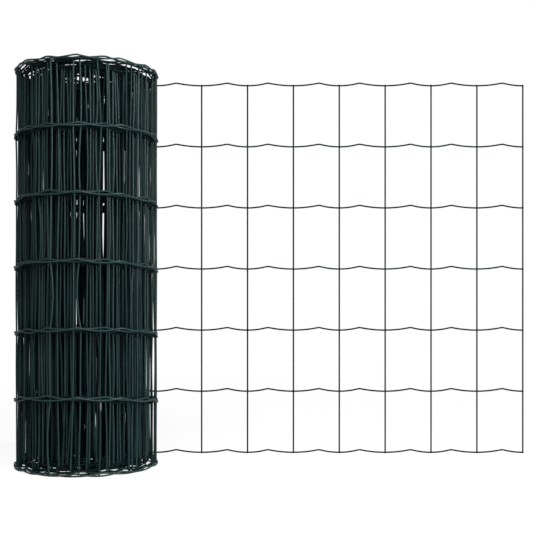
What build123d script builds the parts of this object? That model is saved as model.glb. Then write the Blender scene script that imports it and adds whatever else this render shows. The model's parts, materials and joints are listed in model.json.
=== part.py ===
"""Roll of plastic-coated welded wire fencing, standing on end, with its loose end unrolled flat.

Millimetres, +Z up. The origin is on the roll's axis, at the floor. The loose end leaves the
back of the roll along a tangent and runs straight towards +X.
"""

import math
import os

from build123d import *

# The wire and the mesh
wire_diameter = 2.5
wire_sides = 8
row_count = 7
row_pitch = 100.0
column_pitch = 75.0
weld_depth_share = 0.15  # share of the wire that sinks into the wire it crosses

# The crimps that keep the row wires taut, one crown in each mesh
crimp_height = 4.2
crown_radius = 10.0
crown_stagger = 4.2  # crowns stand this far to either side of the middle, in turn

# The wound roll
stock_length = 25000.0
roll_diameter = 220.0
bore_diameter = 64.0
groove_depth_share = 0.5  # of the wire, for the notch between two turns
groove_width_share = 0.6  # of the build of one turn
bead_clearance = 7.0  # between the end of a row wire's outermost turn and the wire that leaves past it

# The unrolled run
run_lead = 19.0  # from the tangent line to the first trough
run_columns = 9

# Sizes that follow from those
wire_radius = wire_diameter / 2
roll_radius = roll_diameter / 2
bore_radius = bore_diameter / 2
winding_radius = roll_radius - wire_diameter
height = (row_count - 1) * row_pitch + wire_diameter
row_heights = [wire_radius + row * row_pitch for row in range(row_count)]
row_line = winding_radius + wire_radius
column_line = row_line - (1 - weld_depth_share) * wire_diameter
bay_radius = column_line  # between rows, the wall is where the outermost column wires are
bead_gap_angle = math.degrees(math.acos(row_line / (row_line + wire_diameter + bead_clearance)))
trough_places = [run_lead + column * column_pitch for column in range(run_columns + 1)]
column_places = trough_places[1:]
run_end = column_places[-1] + wire_radius
winding_area = math.pi * (winding_radius**2 - bore_radius**2)
turn_pitch = winding_area / (stock_length - run_end)  # less than a wire: crimped rows nest side by side


def wire_section(plane):
    """The wire as an octagon across flats, with its flats square to the plane's axes."""
    octagon = RegularPolygon(wire_radius, wire_sides, major_radius=False, rotation=180 / wire_sides)
    return plane * octagon


def end_notches(end, inward):
    """Outline of one end, from the bore outwards: a notch between each turn and the next."""
    half_width = groove_width_share * turn_pitch / 2
    depth = groove_depth_share * wire_diameter
    turns = int((bay_radius - bore_radius) / turn_pitch)
    points = [(bore_radius, end)]
    for turn in range(turns - 1, 0, -1):
        radius = bay_radius - turn * turn_pitch
        points.append((radius - half_width, end))
        points.append((radius, end + inward * depth))
        points.append((radius + half_width, end))
    return points + [(bay_radius, end)]


def row_ridge(row_height):
    """Outline of the turn below at a row: a ridge as wide as the flat of the wire that lies on it."""
    half_flat = wire_radius * math.tan(math.pi / wire_sides)
    bottom = row_height - half_flat
    top = row_height + half_flat
    return [(bay_radius, bottom), (winding_radius, bottom), (winding_radius, top), (bay_radius, top)]


def row_start(row_height):
    """The upright plane through the axis where a row wire leaves the winding, facing +X."""
    return Plane((0, row_line, row_height), x_dir=(0, 1, 0), z_dir=(1, 0, 0))


def wound_roll():
    """The winding, turned in one with its bore and its turns, and a bead of wire at each row.

    A bead starts where its row wire leaves the winding, and stops short of it after one turn.
    """
    outline = end_notches(0, 1)
    for row_height in row_heights:
        outline += row_ridge(row_height)
    outline += end_notches(height, -1)[::-1]
    winding = revolve(make_face(Plane.XZ * Polyline(*outline, close=True)), Axis.Z)
    sections = [wire_section(row_start(row_height)) for row_height in row_heights]
    beads = [revolve(section, Axis.Z, 360 - bead_gap_angle) for section in sections]
    return winding.fuse(*beads)


def trough_span(trough):
    """From the bottom of a trough to the crown on either side of it: wide and narrow in turn."""
    side = 1 if trough % 2 == 0 else -1
    return column_pitch / 2 + side * crown_stagger


def trough_point(trough, share):
    """A point on a trough's arc: share runs from -1, where the left crown starts, to +1."""
    span = trough_span(trough)
    slope = 2 * math.atan(crimp_height / span)
    radius = span / math.sin(slope) - crown_radius
    along = trough_places[trough] + radius * math.sin(share * slope)
    return Vector(along, row_line, radius * (1 - math.cos(share * slope)))


def row_path():
    """A row wire's centre line: a straight lead, then troughs and crowns as tangent arcs."""
    last = run_columns
    edges = [Line((0, row_line, 0), trough_point(0, 0))]
    edges.append(ThreePointArc(trough_point(0, 0), trough_point(0, 0.5), trough_point(0, 1)))
    for trough in range(last):
        crown = Vector(trough_places[trough] + trough_span(trough), row_line, crimp_height)
        after = trough + 1
        edges.append(ThreePointArc(trough_point(trough, 1), crown, trough_point(after, -1)))
        if after < last:
            edges.append(
                ThreePointArc(trough_point(after, -1), trough_point(after, 0), trough_point(after, 1))
            )
    edges.append(
        ThreePointArc(trough_point(last, -1), trough_point(last, -0.5), trough_point(last, 0))
    )
    edges.append(Line(trough_point(last, 0), (run_end, row_line, 0)))
    return Wire(edges)


def unrolled_run():
    """The flat run: crimped row wires and straight column wires, fused where they cross."""
    row_wire = sweep(wire_section(row_start(0)), path=row_path())
    rows = [Pos(Z=row_height) * row_wire for row_height in row_heights]
    foot = Plane((0, column_line, 0))
    column_wire = extrude(wire_section(foot), height)
    columns = [Pos(X=place) * column_wire for place in column_places]
    return rows[0].fuse(*rows[1:], *columns)


def main():
    os.makedirs("parts", exist_ok=True)
    export_step(wound_roll(), "parts/wound_roll.step")
    export_step(unrolled_run(), "parts/unrolled_run.step")


if __name__ == "__main__":
    main()
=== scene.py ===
"""Looks of a standing roll of green coated wire fencing with its loose end run out flat.

The fencing is one welded strip of mesh. A place on the strip is measured along it, from the line
where it leaves the roll: the run is at positive places and the winding at negative ones.
Metres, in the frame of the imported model: +Z up along the roll's core, +X along the run.
"""

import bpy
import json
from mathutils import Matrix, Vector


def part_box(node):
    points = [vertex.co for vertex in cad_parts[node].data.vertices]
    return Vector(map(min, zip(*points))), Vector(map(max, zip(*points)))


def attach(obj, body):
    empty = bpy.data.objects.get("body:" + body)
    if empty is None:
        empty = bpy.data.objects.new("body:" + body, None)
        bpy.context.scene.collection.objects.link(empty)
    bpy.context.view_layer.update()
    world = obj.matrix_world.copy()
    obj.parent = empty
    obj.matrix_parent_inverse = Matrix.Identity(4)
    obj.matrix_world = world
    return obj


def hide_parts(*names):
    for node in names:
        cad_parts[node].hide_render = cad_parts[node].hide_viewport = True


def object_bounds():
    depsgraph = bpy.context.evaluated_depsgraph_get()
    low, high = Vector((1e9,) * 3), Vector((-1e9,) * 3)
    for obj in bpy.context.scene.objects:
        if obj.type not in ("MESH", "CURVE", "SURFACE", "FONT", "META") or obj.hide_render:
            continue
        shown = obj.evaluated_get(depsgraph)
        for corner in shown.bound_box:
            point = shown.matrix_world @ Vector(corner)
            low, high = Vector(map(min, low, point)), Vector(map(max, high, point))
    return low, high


bl_info = {
    "name": "Wire fencing roll",
    "version": (1, 0, 0),
    "blender": (4, 5, 0),
    "location": "View3D > Sidebar > Fencing",
    "description": "Winds a strip of welded wire mesh into a roll and runs its loose end out flat",
    "category": "Add Mesh",
}

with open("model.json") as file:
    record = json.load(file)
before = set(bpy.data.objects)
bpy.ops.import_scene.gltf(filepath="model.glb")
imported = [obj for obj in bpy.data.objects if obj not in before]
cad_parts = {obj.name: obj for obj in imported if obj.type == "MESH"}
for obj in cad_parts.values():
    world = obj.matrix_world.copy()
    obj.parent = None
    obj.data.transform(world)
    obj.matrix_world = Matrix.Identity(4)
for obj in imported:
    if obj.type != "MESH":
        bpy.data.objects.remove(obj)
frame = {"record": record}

import json
import math

import bpy
import numpy as np
from bpy.props import FloatProperty, FloatVectorProperty, IntProperty, PointerProperty
from mathutils import Vector

CAD_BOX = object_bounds()
ROLL_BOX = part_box("wound_roll")
RUN_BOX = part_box("unrolled_run")
CORE = next(mount for mount in frame["record"]["mounts"] if mount["name"] == "core_bore")
MILLIMETRE = 0.001
WHOLE_TURN = 2 * math.pi
SIDEWAYS = np.array((1.0, 0.0, 0.0))
BACKWARD = np.array((0.0, 1.0, 0.0))
UPWARD = np.array((0.0, 0.0, 1.0))

# A wire is an eight-sided tube, and three quads close its end
SIDES = 8
CAP = np.array([(0, 1, 2, 3), (0, 3, 4, 7), (4, 5, 6, 7)])
CHAMFER = 0.45  # share of the radius
END_POINTS = 2  # added to each end of a path for the chamfer

# Steps of the paths: of a row wire in each mesh, and of an upright between two rows
WOUND_STEPS = 12
RUN_STEPS = 30
BAY_STEPS = 4

# A lump of coating at a weld: rings, and half sizes in wire radii along the row, outward and upward
LUMP_RINGS = 4
LUMP_SHARES = (1.45, 1.4, 1.45)

# The ends of the turns: after each of these turns they lie one step further within
STEP_TURNS = (2.2, 3.6, 6.0, 13.0)
DROP_SPACING = 0.23  # turns from one chance drop to the next
DROP_SPREAD = 0.9  # largest share that chance takes off a drop
MIDDLE_DROP = 0.25  # share of the drop on the rows between the ends

# Unevenness, as shares of the winding's settings
END_SPLAY = 2.5  # times the slip on the end rows
ROW_WAVE = 0.6  # rise of a row, as a share of its wander
MIDDLE_WAVE = 6.0  # times that on the rows between the ends
SIDE_BOW = 0.5
SIDE_BOW_LIMIT = 10.0  # the cube of a chance bow goes no further than this
OUTWARD_BOW = 0.5

# How turns are set over at the front, as shares of a mesh
PAIR_SHARE = 0.0625
FIRST_SHARE = 0.3

# How the uprights nest
NESTING_CHOICES = 31
NESTING_PASSES = 2
NESTING_CELLS = 10  # cells in the radius of a wire
CROWDING = 1.5  # how much less a cell counts for each wire that covers it
ROOM = 1.9  # in wires, from an upright painted lit to the next that doesn't crowd it
MOVE_COST = 20.0  # for each metre
FRONT_WEIGHT = 3.0
SIDE_WEIGHT = 1.0
SIDE_VIEWS = tuple(math.radians(view) for view in (45, 90, 135))  # round the roll from its back
EDGE_SHARE = 0.85  # of half the roll's width, within which uprights count as painted lit
SLIT_SHARES = (0.27, 0.43, 0.48, 0.62)  # of the roll's width, from the left
SLIT_WIDTH = 0.8  # in wires
SLIT_COVER = 9.0  # wires that a slit counts as covered by

# Tones of the wires: the outer turns painted lit, the deeper turns painted in shade, and a random share
# of each wire's own
PAINTED_LIT_UPRIGHT_TURNS = 16
PAINTED_LIT_ROW_TURNS = 2.5
PAINTED_LIGHT_POWER = 8  # how sharply the painted light ends in painted shade at its depth
OWN_UPRIGHT_TONE = 0.6
OWN_ROW_TONE = 0.2
ROW_FADE = 0.8
UNFADED_TURNS = 2
HIDDEN_TONE = 0.1
ROW_SEED = 11  # of the first row, and one more for each row above
WOUND_UPRIGHT_SEED = 21
RUN_UPRIGHT_SEED = 22
WOUND_WELD_SEED = 23
RUN_WELD_SEED = 24

# The coating: noises in cycles a metre, where rubbing starts and is full, and shares
STREAK_SCALE = 60
STREAK_SHIFT = 91  # between the lightest and the darkest wire
STREAK_SHARE = 0.2
CLOUD_SCALE = 45.0
PEEL_SCALE = 1400.0
PEEL_SHARE = 0.6
RUB_CLOUD = (0.58, 0.74)
RUB_PEEL = (0.35, 0.6)
RUB_SHARE = 0.5
ROUGHNESS = 0.5
CLOUD_ROUGHNESS = 0.2
RUB_ROUGHNESS = 0.14
GLOSS = 0.3

# The floor: its reach, how much of its shadow shows, and where that fades
FLOOR_REACH = 12.0
FLOOR_SHADOW = 0.12
FLOOR_FADE = (0.5, 1.6)

# The lamps: place, width and height in metres, power in watts
LAMPS = {
    "key_lamp": ((2.1, -1.15, 1.0), 0.25, 1.4, 88.0),
    "fill_lamp": ((0.4, -2.3, 1.1), 0.3, 1.4, 9.0),
    "top_lamp": ((0.2, -1.4, 2.4), 1.4, 0.6, 84.0),
}

# The photograph's frame, in pixels
FRAME_SIZE = 533
EYE_LEVEL = 282


class MeshSettings(bpy.types.PropertyGroup):
    """Sizes of the welded mesh."""

    wire: FloatProperty(
        name="Wire", description="Diameter of a wire over its coating", default=0.0025, unit="LENGTH"
    )
    row_pitch: FloatProperty(
        name="Row pitch", description="Height of a mesh", default=0.1, unit="LENGTH"
    )
    column_pitch: FloatProperty(
        name="Column pitch", description="Width of a mesh", default=0.075, unit="LENGTH"
    )
    weld_depth: FloatProperty(
        name="Weld depth", description="Share of a wire that sinks into the wire it crosses",
        default=0.15, subtype="FACTOR"
    )
    crimp_height: FloatProperty(
        name="Crimp height", description="Rise of a row wire between two uprights",
        default=0.0042, unit="LENGTH"
    )
    crown_radius: FloatProperty(
        name="Crown radius", description="Bend at the top of a crimp", default=0.010, unit="LENGTH"
    )
    crown_stagger: FloatProperty(
        name="Crown stagger", description="How far crowns stand beside the middle, in turn",
        default=0.0042, unit="LENGTH"
    )
    lead: FloatProperty(
        name="Lead", description="Place of the first upright after the strip leaves the roll",
        default=0.019, unit="LENGTH"
    )


class WindingSettings(bpy.types.PropertyGroup):
    """How tightly and how evenly the strip is wound."""

    stock_length: FloatProperty(
        name="Stock length", description="Length of the strip, wound and unrolled",
        default=25.0, unit="LENGTH"
    )
    telescoping: FloatProperty(
        name="Telescoping", description="How far the ends of inner turns lie within the outer ones",
        default=0.022, unit="LENGTH"
    )
    lift: FloatProperty(
        name="Lift",
        description="How far the rows above the lowest ride up at the front, the lower ones most",
        default=0.009, unit="LENGTH"
    )
    droop: FloatProperty(
        name="Droop", description="How far the rows above the lowest hang lower away from the front",
        default=0.006, unit="LENGTH"
    )
    drift: FloatProperty(
        name="Drift", description="How far a turn strays from its place between the others",
        default=0.0004, unit="LENGTH"
    )
    nesting: FloatProperty(
        name="Nesting", description="How far an upright moves round the roll to find a gap",
        default=0.010, unit="LENGTH"
    )
    slip: FloatProperty(
        name="Slip", description="How far a weld strays round the roll", default=0.0009, unit="LENGTH"
    )
    wander: FloatProperty(
        name="Wander", description="How far a row wire strays in, out and up",
        default=0.0005, unit="LENGTH"
    )
    bow: FloatProperty(
        name="Bow", description="How far an upright bows between two rows", default=0.0008, unit="LENGTH"
    )
    settling: FloatProperty(
        name="Settling", description="Share of a turn over which the run's evenness is lost",
        default=0.4, subtype="FACTOR"
    )
    seed: IntProperty(name="Seed", description="Which of many like windings it is", default=4)


class CoatingSettings(bpy.types.PropertyGroup):
    """Colours of the plastic coating, from painted shade to painted light, and where wires have rubbed.
    """

    # Painted shade: wires deep in the winding take this dark green; the run and the random share of the
    # tone lean to it too
    darkest_and_shaded_green: FloatVectorProperty(
        name="Deep green", description="Coating of the darkest wires", subtype="COLOR",
        default=(0.0008, 0.0028, 0.0032)
    )
    # Painted light: the outer turns take this lighter green as if lit; the random share of the tone leans
    # to it too
    lightest_and_lit_green: FloatVectorProperty(
        name="Fresh green", description="Coating of the lightest wires", subtype="COLOR",
        default=(0.0115, 0.027, 0.027)
    )
    rubbed: FloatVectorProperty(
        name="Rubbed green", description="Coating where wires have rubbed", subtype="COLOR",
        default=(0.020, 0.038, 0.038)
    )


class StageSettings(bpy.types.PropertyGroup):
    """Camera and light."""

    distance: FloatProperty(
        name="Distance", description="From the camera to the roll's axis", default=1.6, unit="LENGTH"
    )
    aside: FloatProperty(
        name="Aside", description="From the roll's axis to the camera, along the run",
        default=0.275, unit="LENGTH"
    )
    eye_height: FloatProperty(
        name="Eye height", description="Height of the camera", default=0.280, unit="LENGTH"
    )
    lens: FloatProperty(
        name="Lens", description="Focal length, in millimetres", default=70.5
    )
    ambient: FloatProperty(
        name="Ambient", description="Light from all around, seen only by the surfaces", default=0.06
    )


def strip_settings(context):
    """The four groups of settings of the scene."""
    scene = context.scene
    return scene.fencing_mesh, scene.fencing_winding, scene.fencing_coating, scene.fencing_stage


class View:
    """The uprights seen from one side, with how many of them cover each cell across the roll."""

    def __init__(self, across, cell, weight):
        """Across has one row for each upright, with the places it can choose from."""
        self.places = np.round((across - across.min()) / cell).astype(int) + NESTING_CELLS
        self.covered = np.zeros(self.places.max() + NESTING_CELLS + 1)
        self.wire = np.arange(-NESTING_CELLS, NESTING_CELLS + 1)
        self.weight = weight

    def cover(self, upright, choice, count):
        """Adds an upright at one of its places, or takes it away with a count of -1."""
        self.covered[self.places[upright, choice] + self.wire] += count

    def gains(self, upright):
        """What an upright would close at each of its places."""
        covered = self.covered[self.places[upright][:, None] + self.wire]
        return self.weight * np.exp(-CROWDING * covered).sum(axis=1)


class Strip:
    """Where each wire of the strip lies, flat on the run and wound on the roll."""

    def __init__(self, context):
        mesh, winding, _, stage = strip_settings(context)
        self.mesh = mesh
        self.winding = winding
        self.wire_radius = mesh.wire / 2
        self.row_line = RUN_BOX[1][1] - self.wire_radius
        self.run_end = RUN_BOX[1][0] - self.wire_radius
        self.weld_step = (1 - mesh.weld_depth) * mesh.wire
        rows = round((ROLL_BOX[1][2] - ROLL_BOX[0][2] - mesh.wire) / mesh.row_pitch) + 1
        self.row_heights = ROLL_BOX[0][2] + self.wire_radius + mesh.row_pitch * np.arange(rows)
        inner = CORE["dims"]["r_mm"] * MILLIMETRE + mesh.wire + self.weld_step
        wound_length = winding.stock_length - self.run_end
        self.turn_pitch = math.pi * (self.row_line**2 - inner**2) / wound_length
        self.turns = (self.row_line - inner) / self.turn_pitch
        self.run_columns = np.arange(mesh.lead, self.run_end + self.wire_radius, mesh.column_pitch)
        self.wound_columns = np.arange(mesh.lead, -wound_length, -mesh.column_pitch)
        self.draw_unevenness()
        self.slips = self.slips + self.nest(stage)

    def draw_unevenness(self):
        """Random strays of the winding, drawn once, so that all wires share them."""
        chance = np.random.default_rng(self.winding.seed)
        rows = len(self.row_heights)
        self.drop_turns = np.arange(0, self.turns + 1, DROP_SPACING)
        steps = np.searchsorted(STEP_TURNS, self.drop_turns) / len(STEP_TURNS)
        self.drops = self.winding.telescoping * steps * (1 - chance.uniform(0, DROP_SPREAD, len(steps)))
        self.drift_turns = np.arange(0.5, self.turns + 1)  # the front of each turn
        self.drifts = self.settle() + self.winding.drift * chance.standard_normal(len(self.drift_turns))
        self.slips = self.winding.slip * chance.standard_normal((rows, len(self.wound_columns)))
        self.slips[[0, -1]] *= END_SPLAY
        self.strays = self.winding.wander * chance.standard_normal((rows, len(self.wound_columns)))
        waves = np.abs(chance.standard_normal(self.strays.shape))
        self.row_waves = ROW_WAVE * self.winding.wander * waves
        self.row_waves[1:-1] *= MIDDLE_WAVE
        bays = (len(self.wound_columns), rows - 1)
        bent = np.clip(chance.standard_normal(bays)**3, -SIDE_BOW_LIMIT, SIDE_BOW_LIMIT)
        self.side_bows = SIDE_BOW * self.winding.bow * bent
        self.outward_bows = OUTWARD_BOW * self.winding.bow * chance.standard_normal(bays)
        self.fades = chance.uniform(0, ROW_FADE, (rows, len(self.drift_turns)))
        self.fades[:, :UNFADED_TURNS] = 0

    def settle(self):
        """How far each turn slides along the strip, so that the uprights stand evenly apart at the front.

        Two turns that follow each other are half a mesh apart, and each pair is set over from the
        pair before by the same share of a mesh.
        """
        order = np.arange(len(self.drift_turns))
        shares = order % 2 / 2 + order // 2 * PAIR_SHARE
        inner = self.row_line - self.turn_pitch * self.drift_turns
        wound = math.pi * (self.row_line**2 - inner**2) / self.turn_pitch
        mesh_count = (wound - wound[0]) / self.mesh.column_pitch + shares + FIRST_SHARE
        return self.mesh.column_pitch * (mesh_count - np.round(mesh_count))

    def nest(self, stage):
        """How far each upright moves along the strip, to close a gap that shows from one of the views.

        The uprights painted lit at the front keep apart from each other, the outermost first. The others
        then cover what is still open, and once more after that. A few slits at the front count as
        covered, so they stay open.
        """
        turns, settled = self.wound_turns(self.wound_columns)
        drift = np.interp(turns, self.drift_turns, self.drifts)
        moves = np.linspace(-self.winding.nesting, self.winding.nesting, NESTING_CHOICES)
        wound = settled[:, None] * (drift[:, None] + moves) - self.wound_columns[:, None]
        angles = self.turned(np.maximum(wound, 0))
        radii = self.row_line - self.turn_pitch * angles / WHOLE_TURN - self.weld_step
        depths = stage.distance + radii * np.cos(angles)
        seen = -(radii * np.sin(angles) + stage.aside) * stage.distance / depths
        cell = self.wire_radius / NESTING_CELLS
        front = View(seen, cell, FRONT_WEIGHT)
        sides = [View(radii * np.sin(angles - side), cell, SIDE_WEIGHT) for side in SIDE_VIEWS]
        views = (front, *sides)

        reach = round(2 * ROOM * NESTING_CELLS)
        around = np.arange(-reach, reach + 1)
        nearness = 1 - np.abs(around) / reach
        crowd = np.zeros(len(front.covered))
        half_slit = round(SLIT_WIDTH * NESTING_CELLS)
        for share in SLIT_SHARES:
            slit = round(share * np.ptp(seen) / cell) + NESTING_CELLS
            front.covered[slit - half_slit:slit + half_slit + 1] = SLIT_COVER
            crowd[slit + around] += nearness

        unmoved = NESTING_CHOICES // 2
        taken = np.full(len(seen), unmoved)
        off_centre = np.abs(2 * (seen[:, unmoved] - seen.min()) / np.ptp(seen) - 1)
        at_front = np.cos(angles[:, unmoved]) < 0
        painted_lit = at_front & (turns < PAINTED_LIT_UPRIGHT_TURNS) & (off_centre < EDGE_SHARE)
        for upright in np.flatnonzero(painted_lit):
            taken[upright] = np.argmin(crowd[front.places[upright]] + MOVE_COST * np.abs(moves))
            crowd[front.places[upright, taken[upright]] + around] += nearness
            for view in views:
                view.cover(upright, taken[upright], 1)
        for again in range(NESTING_PASSES):
            for upright in np.flatnonzero(~painted_lit):
                if again:
                    for view in views:
                        view.cover(upright, taken[upright], -1)
                taken[upright] = np.argmax(sum(view.gains(upright) for view in views))
                for view in views:
                    view.cover(upright, taken[upright], 1)
        return moves[taken]

    def crimp(self, place):
        """Rise of a row wire: a trough arc about each upright, joined to a crown arc in each mesh.

        A trough of half span w and rise h meets its crown at the slope 2 atan(h / w); the two radii
        add up to w / sin(slope).
        """
        mesh = self.mesh
        left = np.floor((place - mesh.lead) / mesh.column_pitch)
        from_left = place - mesh.lead - left * mesh.column_pitch
        wide = np.where(left % 2 == 0, 1, -1) * mesh.crown_stagger
        left_span = mesh.column_pitch / 2 + wide
        on_left = from_left <= left_span
        span = np.where(on_left, left_span, mesh.column_pitch - left_span)
        off = np.where(on_left, from_left, mesh.column_pitch - from_left)
        slope = 2 * np.arctan(mesh.crimp_height / span)
        trough = span / np.sin(slope) - mesh.crown_radius
        in_trough = off < trough * np.sin(slope)
        low = trough - np.sqrt(np.maximum(trough**2 - off**2, 0))
        to_crown = np.minimum(span - off, mesh.crown_radius)
        high = mesh.crimp_height - mesh.crown_radius + np.sqrt(mesh.crown_radius**2 - to_crown**2)
        return np.where(in_trough, low, high)

    def turned(self, wound):
        """Angle turned about the core after a wound length, on a spiral that closes in evenly."""
        inside = np.maximum(self.row_line**2 - self.turn_pitch * wound / math.pi, 0)
        return WHOLE_TURN / self.turn_pitch * (self.row_line - np.sqrt(inside))

    def wound_turns(self, place):
        """Turns from the tangent line to a place, and how far it has lost the run's evenness there."""
        turns = self.turned(-place) / WHOLE_TURN
        return turns, np.clip(turns / self.winding.settling, 0, 1)

    def wound_point(self, row, place):
        """Radius, angle and rise of a row wire at places on the winding, with its strays."""
        turns, settled = self.wound_turns(place)
        order = -self.wound_columns
        drift = np.interp(turns, self.drift_turns, self.drifts)
        slip = np.interp(-place, order, self.slips[row]) + drift
        stray = settled * np.interp(-place, order, self.strays[row])
        wave = np.interp(-place, order, self.row_waves[row])
        angle = self.turned(np.maximum(settled * slip - place, 0))
        drop = np.interp(turns, self.drop_turns, self.drops)
        radius = self.row_line - self.turn_pitch * angle / WHOLE_TURN + stray
        if row == 0:
            return radius, math.pi / 2 + angle, settled * (wave + drop)
        front = np.maximum(-np.cos(angle), 0)
        share = row / (len(self.row_heights) - 1)
        lift = self.winding.lift * (1 - share**2) * front - self.winding.droop * (1 - front)
        if share < 1:
            drop = MIDDLE_DROP * drop
        return radius, math.pi / 2 + angle, settled * (wave + lift - drop)

    def painted_light(self, place, depth):
        """Painted light and shade: the outer turns are painted lit, falling to painted shade beyond a
        depth in turns; none on the run.
        """
        turns, settled = self.wound_turns(np.minimum(place, 0))
        return settled / (1 + (turns / depth)**PAINTED_LIGHT_POWER)

    def row_path(self, row):
        """Centre line of a row wire from its end in the core, round the winding and along the run."""
        mesh = self.mesh
        wound_step = mesh.column_pitch / WOUND_STEPS
        run_step = mesh.column_pitch / RUN_STEPS
        start = mesh.lead - np.floor(mesh.lead / wound_step) * wound_step
        wound = np.arange(self.wound_columns[-1], start, wound_step)
        wound = wound[wound < 0]
        radius, angle, rise = self.wound_point(row, wound)
        height = self.row_heights[row] + rise + self.crimp(wound)
        winding = np.stack((radius * np.cos(angle), radius * np.sin(angle), height), axis=-1)
        flat = np.arange(0, self.run_end + run_step / 2, run_step)
        flat = np.append(flat[flat < self.run_end], self.run_end)
        level = self.row_heights[row] + self.crimp(flat)
        run = np.stack((flat, np.full_like(flat, self.row_line), level), axis=-1)
        return np.concatenate((winding, run)), np.concatenate((wound, flat))

    def upright_paths(self):
        """Centre lines of the wound uprights: straight from row to row, plus a bow in each bay.

        The upright at the lead has not reached the winding yet, so it is made with the run's.
        """
        places = self.wound_columns[1:]
        rows = range(len(self.row_heights))
        nodes = np.stack([np.stack(self.wound_point(row, places)) for row in rows])
        radius, angle, rise = np.moveaxis(nodes, 1, 0)
        radius = radius - self.weld_step
        height = self.row_heights[:, None] + rise
        share = np.arange(BAY_STEPS) / BAY_STEPS
        bulge = np.sin(math.pi * share)

        def filled(values, bows):
            between = values[:-1, :, None] * (1 - share) + values[1:, :, None] * share
            between = between + bows.T[:, :, None] * bulge
            rows_of_points = np.moveaxis(between, 1, 0).reshape(len(places), -1)
            return np.concatenate((rows_of_points, values[-1][:, None]), axis=1)

        level = np.zeros_like(self.side_bows[1:])
        outward = filled(radius, self.outward_bows[1:])
        round_roll = filled(angle, self.side_bows[1:] / radius[0][:, None])
        upward = filled(height, level)
        return np.stack((outward * np.cos(round_roll), outward * np.sin(round_roll), upward), axis=-1)


def lengthen(paths, by):
    """The paths with each end carried on along its last step, by a length, in two steps.

    The last step is the short one, over which a wire's end is chamfered.
    """
    first = paths[:, :1] - paths[:, 1:2]
    last = paths[:, -1:] - paths[:, -2:-1]
    first = first / np.linalg.norm(first, axis=-1, keepdims=True)
    last = last / np.linalg.norm(last, axis=-1, keepdims=True)
    near = by * (1 - CHAMFER)
    starts = (paths[:, :1] + by * first, paths[:, :1] + near * first)
    ends = (paths[:, -1:] + near * last, paths[:, -1:] + by * last)
    return np.concatenate((*starts, paths, *ends), axis=1)


def skin(bodies, rings):
    """Quads that join each ring of a body to its next ring and close its two ends.

    Corners are numbered body by body, ring by ring and side by side.
    """
    index = np.arange(bodies * rings * SIDES).reshape(bodies, rings, SIDES)
    after = np.roll(index, -1, axis=2)
    walls = np.stack((index[:, :-1], after[:, :-1], after[:, 1:], index[:, 1:]), axis=-1)
    ends = np.concatenate((index[:, 0][:, CAP[:, ::-1]], index[:, -1][:, CAP]))
    return np.concatenate((walls.reshape(-1, 4), ends.reshape(-1, 4)))


def tubes(paths, across, radius, tones):
    """Wires of round section carried along paths, with chamfered ends.

    A ring about each path point is radius * (cos a * side + sin a * up), with side square to the path
    and to the vector across. Returns corners, quads, and each corner's length along and tone.
    """
    wires, count, _ = paths.shape
    ahead = np.gradient(paths, axis=1)
    ahead = ahead / np.linalg.norm(ahead, axis=-1, keepdims=True)
    side = np.cross(np.broadcast_to(across, paths.shape), ahead)
    side = side / np.linalg.norm(side, axis=-1, keepdims=True)
    up = np.cross(ahead, side)
    angles = WHOLE_TURN * np.arange(SIDES) / SIDES
    ring = np.cos(angles)[:, None] * side[:, :, None] + np.sin(angles)[:, None] * up[:, :, None]
    thick = np.full(count, radius)
    thick[[0, -1]] = radius * (1 - CHAMFER)
    corners = paths[:, :, None] + thick[:, None, None] * ring
    steps = np.linalg.norm(np.diff(paths, axis=1), axis=-1)
    along = np.concatenate((np.zeros((wires, 1)), np.cumsum(steps, axis=1)), axis=1)
    shape = (wires, count, SIDES)
    alongs = np.broadcast_to(along[:, :, None], shape).ravel()
    corner_tones = np.broadcast_to(tones[:, :, None], shape).ravel()
    return corners.reshape(-1, 3), skin(wires, count), alongs, corner_tones


def lumps(centres, outward, half_sizes, tones):
    """Small rounded lumps of coating where two wires cross: one ellipsoid about each centre.

    A corner is centre + a * sin t cos u * sideways + b * sin t sin u * outward - c * cos t * up, with
    the half sizes a, b and c. Returns what tubes returns, with no length along.
    """
    turn = WHOLE_TURN * np.arange(SIDES) / SIDES
    tilt = math.pi * (np.arange(LUMP_RINGS) + 0.5) / LUMP_RINGS
    ball = np.stack((
        np.multiply.outer(np.sin(tilt), np.cos(turn)),
        np.multiply.outer(np.sin(tilt), np.sin(turn)),
        -np.broadcast_to(np.cos(tilt)[:, None], (LUMP_RINGS, SIDES)),
    ), axis=-1) * np.asarray(half_sizes)
    sideways = np.cross(outward, UPWARD)
    axes = np.stack((sideways, outward, np.broadcast_to(UPWARD, outward.shape)), axis=1)
    corners = centres[:, None, None] + np.einsum("rac,ncd->nrad", ball, axes)
    shape = (len(centres), LUMP_RINGS, SIDES)
    alongs = np.zeros(shape).ravel()
    corner_tones = np.broadcast_to(tones[:, :, None], shape).ravel()
    return corners.reshape(-1, 3), skin(len(centres), LUMP_RINGS), alongs, corner_tones


def piece(context, name, surface, *nodes):
    """Puts a surface into the scene as a piece of the fencing, in place of one or both solids."""
    corners, quads, alongs, tones = surface
    data = bpy.data.meshes.new(name)
    data.from_pydata(corners, [], quads)
    for attribute, values in (("along", alongs), ("tone", tones)):
        layer = data.attributes.new(attribute, "FLOAT", "POINT")
        layer.data.foreach_set("value", values.astype(np.float32))
    data.polygons.foreach_set("use_smooth", np.ones(len(quads), dtype=bool))
    data.materials.append(coating(context))
    data.update()
    made = bpy.data.objects.new(name, data)
    context.scene.collection.objects.link(made)
    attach(made, "root")
    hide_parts(*nodes)


def wire_tones(painted_light, own, seed):
    """A tone from 0 to 1 for each wire, from its painted light and shade and, to a share, from a chance
    of its own.

    Paleness, the painted light and shade, has one row for each wire, with one value or one for each point
    of its path.
    """
    chance = np.random.default_rng(seed).uniform(0, 1, (len(painted_light), 1))
    return HIDDEN_TONE * chance + (1 - HIDDEN_TONE) * painted_light * (1 - own * chance)


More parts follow.
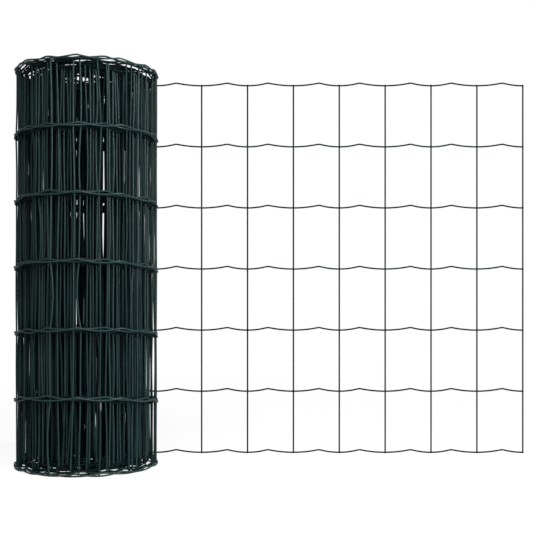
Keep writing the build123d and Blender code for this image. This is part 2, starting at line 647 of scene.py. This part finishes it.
class Shade:
    """A socket of a node tree that can be used in arithmetic: each operation adds a Math node."""

    def __init__(self, tree, socket=None):
        self.tree = tree
        self.socket = socket

    def node(self, kind, settings, sockets, output=0):
        """Adds a node: its settings come first, then the values or links of its sockets."""
        made = self.tree.nodes.new(kind)
        for setting, value in settings.items():
            setattr(made, setting, value)
        for name, value in sockets.items():
            if isinstance(value, Shade):
                self.tree.links.new(value.socket, made.inputs[name])
            else:
                made.inputs[name].default_value = value
        return Shade(self.tree, made.outputs[output] if made.outputs else None)

    def math(self, operation, first, second):
        """A Math node of two values."""
        return self.node("ShaderNodeMath", {"operation": operation}, {0: first, 1: second})

    def __add__(self, other):
        return self.math("ADD", self, other)

    def __radd__(self, other):
        return self.math("ADD", other, self)

    def __mul__(self, other):
        return self.math("MULTIPLY", self, other)

    def between(self, low, high):
        """0 below low, 1 above high, smooth in between."""
        sockets = {"Value": self, "From Min": low, "From Max": high}
        return self.node("ShaderNodeMapRange", {"interpolation_type": "SMOOTHSTEP"}, sockets)

    def blend(self, first, second):
        """A colour between two colours, by this factor.

        The Mix node has its sockets for colours at inputs 6 and 7 and at output 2.
        """
        return self.node("ShaderNodeMix", {"data_type": "RGBA"}, {0: self, 6: first, 7: second}, 2)


def coating(context):
    """Satin plastic coating: each wire's tone is painted light on the outer turns and painted shade
    deeper in the winding, with a random share of its own and faint draw streaks along it.

    Its skin is a fine orange peel, and it is paler and duller in patches where wires have rubbed.
    """
    found = bpy.data.materials.get("green_coating_skin")
    if found:
        return found
    _, _, colours, _ = strip_settings(context)
    material = bpy.data.materials.new("green_coating_skin")
    material.use_nodes = True
    tree = material.node_tree
    tree.nodes.clear()
    shade = Shade(tree)
    tone = shade.node("ShaderNodeAttribute", {"attribute_name": "tone"}, {}, "Fac")
    along = shade.node("ShaderNodeAttribute", {"attribute_name": "along"}, {}, "Fac")
    place = shade.node("ShaderNodeTexCoord", {}, {}, "Object")
    streak = shade.node(
        "ShaderNodeTexNoise", {"noise_dimensions": "1D"},
        {"W": along * STREAK_SCALE + tone * STREAK_SHIFT, "Scale": 1.0, "Detail": 3.0}
    )
    cloud = shade.node(
        "ShaderNodeTexNoise", {}, {"Vector": place, "Scale": CLOUD_SCALE, "Detail": 4.0}
    )
    peel = shade.node(
        "ShaderNodeTexNoise", {}, {"Vector": place, "Scale": PEEL_SCALE, "Detail": 2.0}
    )
    rub = cloud.between(*RUB_CLOUD) * peel.between(*RUB_PEEL)
    lightness = tone * (1 - STREAK_SHARE) + streak * STREAK_SHARE
    # Painted light and shade: the tone blends from the dark, shaded green deep in the winding to the lit
    # green of the outer turns
    colour = lightness.blend((*colours.darkest_and_shaded_green, 1), (*colours.lightest_and_lit_green, 1))
    colour = (rub * RUB_SHARE).blend(colour, (*colours.rubbed, 1))
    roughness = ROUGHNESS + cloud * CLOUD_ROUGHNESS + rub * RUB_ROUGHNESS
    # The coat's gloss follows the painted tone, so wires painted in shade have none
    gloss = tone * tone * GLOSS
    height = peel * PEEL_SHARE + streak * (1 - PEEL_SHARE)
    skin_bump = shade.node(
        "ShaderNodeBump", {}, {"Strength": 0.25, "Distance": 0.0002, "Height": height}
    )
    finish = shade.node(
        "ShaderNodeBsdfPrincipled", {},
        {"Base Color": colour, "Roughness": roughness, "Normal": skin_bump, "IOR": 1.48,
         "Specular IOR Level": 0.02, "Coat Weight": gloss, "Coat Roughness": 0.25}
    )
    shade.node("ShaderNodeOutputMaterial", {}, {"Surface": finish})
    return material


class RowWires(bpy.types.Operator):
    """Make the row wires, each from its end in the core to its end on the run."""

    bl_idname = "fencing.row_wires"
    bl_label = "Row wires"

    def execute(self, context):
        strip = Strip(context)
        for row in range(len(strip.row_heights)):
            points, places = strip.row_path(row)
            path = lengthen(points[None], strip.wire_radius)
            turns, _ = strip.wound_turns(np.minimum(places, 0))
            fade = np.interp(turns, strip.drift_turns, strip.fades[row])
            # Painted light on the outer turns of the row and painted shade deeper in the winding,
            # lessened at random by the row's fades
            painted_light = strip.painted_light(places, PAINTED_LIT_ROW_TURNS) * (1 - fade)
            painted_light = np.pad(painted_light, END_POINTS, mode="edge")
            tones = wire_tones(painted_light[None], OWN_ROW_TONE, ROW_SEED + row)
            surface = tubes(path, UPWARD, strip.wire_radius, tones)
            piece(context, f"row_wire_{row + 1}", surface, "wound_roll", "unrolled_run")
        return {"FINISHED"}


class WoundUprights(bpy.types.Operator):
    """Make the uprights of the winding, welded to the inner side of the row wires."""

    bl_idname = "fencing.wound_uprights"
    bl_label = "Wound uprights"

    def execute(self, context):
        strip = Strip(context)
        paths = lengthen(strip.upright_paths(), strip.wire_radius)
        # Painted light on the uprights of the outer turns and painted shade on the deeper ones
        painted_light = strip.painted_light(strip.wound_columns[1:], PAINTED_LIT_UPRIGHT_TURNS)
        tones = wire_tones(painted_light[:, None], OWN_UPRIGHT_TONE, WOUND_UPRIGHT_SEED)
        surface = tubes(paths, SIDEWAYS, strip.wire_radius, tones)
        piece(context, "wound_uprights", surface, "wound_roll")
        return {"FINISHED"}


class RunUprights(bpy.types.Operator):
    """Make the straight uprights of the run, and the one that has just left the winding."""

    bl_idname = "fencing.run_uprights"
    bl_label = "Run uprights"

    def execute(self, context):
        strip = Strip(context)
        along, up = np.meshgrid(strip.run_columns, strip.row_heights, indexing="ij")
        back = np.full(along.shape, strip.row_line - strip.weld_step)
        paths = np.stack((along, back, up), axis=-1)
        painted_light = strip.painted_light(strip.run_columns, PAINTED_LIT_UPRIGHT_TURNS)
        tones = wire_tones(painted_light[:, None], OWN_UPRIGHT_TONE, RUN_UPRIGHT_SEED)
        surface = tubes(lengthen(paths, strip.wire_radius), SIDEWAYS, strip.wire_radius, tones)
        piece(context, "run_uprights", surface, "unrolled_run")
        return {"FINISHED"}


class Welds(bpy.types.Operator):
    """Make the lumps of coating at the welds, on the winding and on the run."""

    bl_idname = "fencing.welds"
    bl_label = "Welds"

    def execute(self, context):
        strip = Strip(context)
        self.wound_welds(context, strip)
        self.run_welds(context, strip)
        return {"FINISHED"}

    def wound_welds(self, context, strip):
        """A lump at each weld of the winding."""
        columns = strip.wound_columns[1:]
        centres = []
        outward = []
        for row, height in enumerate(strip.row_heights):
            radius, angle, rise = strip.wound_point(row, columns)
            direction = np.stack((np.cos(angle), np.sin(angle), np.zeros_like(angle)), axis=-1)
            centre = (radius - strip.weld_step / 2)[:, None] * direction
            centre[:, 2] = height + rise
            centres.append(centre)
            outward.append(direction)
        # Painted light and painted shade of the welds, by depth, as on the rows
        painted_light = np.tile(strip.painted_light(columns, PAINTED_LIT_ROW_TURNS), len(strip.row_heights))
        tones = wire_tones(painted_light[:, None], OWN_ROW_TONE, WOUND_WELD_SEED)
        half_sizes = strip.wire_radius * np.array(LUMP_SHARES)
        surface = lumps(np.concatenate(centres), np.concatenate(outward), half_sizes, tones)
        piece(context, "wound_welds", surface, "wound_roll")

    def run_welds(self, context, strip):
        """A lump at each weld of the run."""
        along, up = np.meshgrid(strip.run_columns, strip.row_heights)
        back = np.full(along.shape, strip.row_line - strip.weld_step / 2)
        centres = np.stack((along, back, up), axis=-1).reshape(-1, 3)
        outward = np.broadcast_to(BACKWARD, centres.shape)
        painted_light = strip.painted_light(centres[:, :1], PAINTED_LIT_ROW_TURNS)
        tones = wire_tones(painted_light, OWN_ROW_TONE, RUN_WELD_SEED)
        half_sizes = strip.wire_radius * np.array(LUMP_SHARES)
        surface = lumps(centres, outward, half_sizes, tones)
        piece(context, "run_welds", surface, "unrolled_run")


def seen_directly(shade):
    """1 for what the camera, a reflection or a clear body sees, and 0 for light on surfaces."""
    rays = ("Is Camera Ray", "Is Glossy Ray", "Is Transmission Ray")
    camera, glossy, through = (shade.node("ShaderNodeLightPath", {}, {}, ray) for ray in rays)
    return shade.math("MAXIMUM", shade.math("MAXIMUM", camera, glossy), through)


class Stage(bpy.types.Operator):
    """Set the floor, the white surroundings, the soft lamps and the camera."""

    bl_idname = "fencing.stage"
    bl_label = "Stage"

    def execute(self, context):
        _, _, _, stage = strip_settings(context)
        context.scene.view_settings.view_transform = "Standard"
        self.floor(context)
        self.surroundings(context, stage)
        self.lamps(context)
        self.camera(context, stage)
        return {"FINISHED"}

    def floor(self, context):
        """A flat white floor, which keeps a faint shadow."""
        reach = FLOOR_REACH
        data = bpy.data.meshes.new("floor")
        corners = [(-reach, -reach, 0), (reach, -reach, 0), (reach, reach, 0), (-reach, reach, 0)]
        data.from_pydata(corners, [], [(0, 1, 2, 3)])
        material = bpy.data.materials.new("floor_white")
        material.use_nodes = True
        material.node_tree.nodes.clear()
        shade = Shade(material.node_tree)
        matt = shade.node("ShaderNodeBsdfDiffuse", {}, {"Color": (0.86, 0.86, 0.86, 1)})
        white = shade.node("ShaderNodeEmission", {}, {"Strength": 1.0})
        place = shade.node("ShaderNodeTexCoord", {}, {}, "Object")
        away = shade.node("ShaderNodeVectorMath", {"operation": "LENGTH"}, {0: place}, "Value")
        fade = 1 - FLOOR_SHADOW + away.between(*FLOOR_FADE) * FLOOR_SHADOW
        plain = seen_directly(shade) * fade
        mixed = shade.node("ShaderNodeMixShader", {}, {0: plain, 1: matt, 2: white})
        shade.node("ShaderNodeOutputMaterial", {}, {"Surface": mixed})
        data.materials.append(material)
        floor = bpy.data.objects.new("floor", data)
        context.scene.collection.objects.link(floor)

    def surroundings(self, context, stage):
        """White all around to look at, and softer as light."""
        world = bpy.data.worlds.new("white_surroundings")
        world.use_nodes = True
        world.node_tree.nodes.clear()
        shade = Shade(world.node_tree)
        level = stage.ambient + seen_directly(shade) * (1 - stage.ambient)
        sky = shade.node("ShaderNodeBackground", {}, {"Color": (1, 1, 1, 1), "Strength": level})
        shade.node("ShaderNodeOutputWorld", {}, {"Surface": sky})
        context.scene.world = world

    def lamps(self, context):
        """A tall lamp in front to the right, a weak tall one before the mesh and a wide one above.

        All are soft and aimed at the middle of the fencing.
        """
        middle = np.mean(CAD_BOX, axis=0)
        for name, (place, width, height, power) in LAMPS.items():
            lamp = bpy.data.lights.new(name, "AREA")
            lamp.shape = "RECTANGLE"
            lamp.size = width
            lamp.size_y = height
            lamp.energy = power
            holder = bpy.data.objects.new(name, lamp)
            holder.location = place
            aim = Vector(middle) - holder.location
            holder.rotation_euler = aim.to_track_quat("-Z", "Y").to_euler()
            context.scene.collection.objects.link(holder)

    def camera(self, context, stage):
        """A level camera before the mesh, with its frame shifted up like the photograph's."""
        data = bpy.data.cameras.new("camera")
        data.sensor_fit = "HORIZONTAL"
        data.lens = stage.lens
        data.shift_y = (EYE_LEVEL - FRAME_SIZE / 2) / FRAME_SIZE
        camera = bpy.data.objects.new("camera", data)
        camera.location = (stage.aside, -stage.distance, stage.eye_height)
        camera.rotation_euler = (math.pi / 2, 0, 0)
        context.scene.collection.objects.link(camera)
        context.scene.camera = camera


class FencingPanel(bpy.types.Panel):
    """Lists the settings of the fencing and the steps that make it."""

    bl_idname = "VIEW3D_PT_fencing"
    bl_label = "Wire fencing roll"
    bl_space_type = "VIEW_3D"
    bl_region_type = "UI"
    bl_category = "Fencing"

    def draw(self, context):
        for settings in strip_settings(context):
            box = self.layout.box()
            for name in settings.__annotations__:
                box.prop(settings, name)
        for step in STEPS:
            self.layout.operator(step.bl_idname)


SETTINGS = {
    "fencing_mesh": MeshSettings,
    "fencing_winding": WindingSettings,
    "fencing_coating": CoatingSettings,
    "fencing_stage": StageSettings,
}
STEPS = (RowWires, WoundUprights, RunUprights, Welds, Stage)


def register():
    for name, group in SETTINGS.items():
        bpy.utils.register_class(group)
        setattr(bpy.types.Scene, name, PointerProperty(type=group))
    for made in (*STEPS, FencingPanel):
        bpy.utils.register_class(made)


def unregister():
    for made in (FencingPanel, *reversed(STEPS)):
        bpy.utils.unregister_class(made)
    for name, group in SETTINGS.items():
        delattr(bpy.types.Scene, name)
        bpy.utils.unregister_class(group)


def main():
    register()
    bpy.ops.fencing.row_wires()
    bpy.ops.fencing.wound_uprights()
    bpy.ops.fencing.run_uprights()
    bpy.ops.fencing.welds()
    bpy.ops.fencing.stage()


if __name__ == "__main__":
    main()
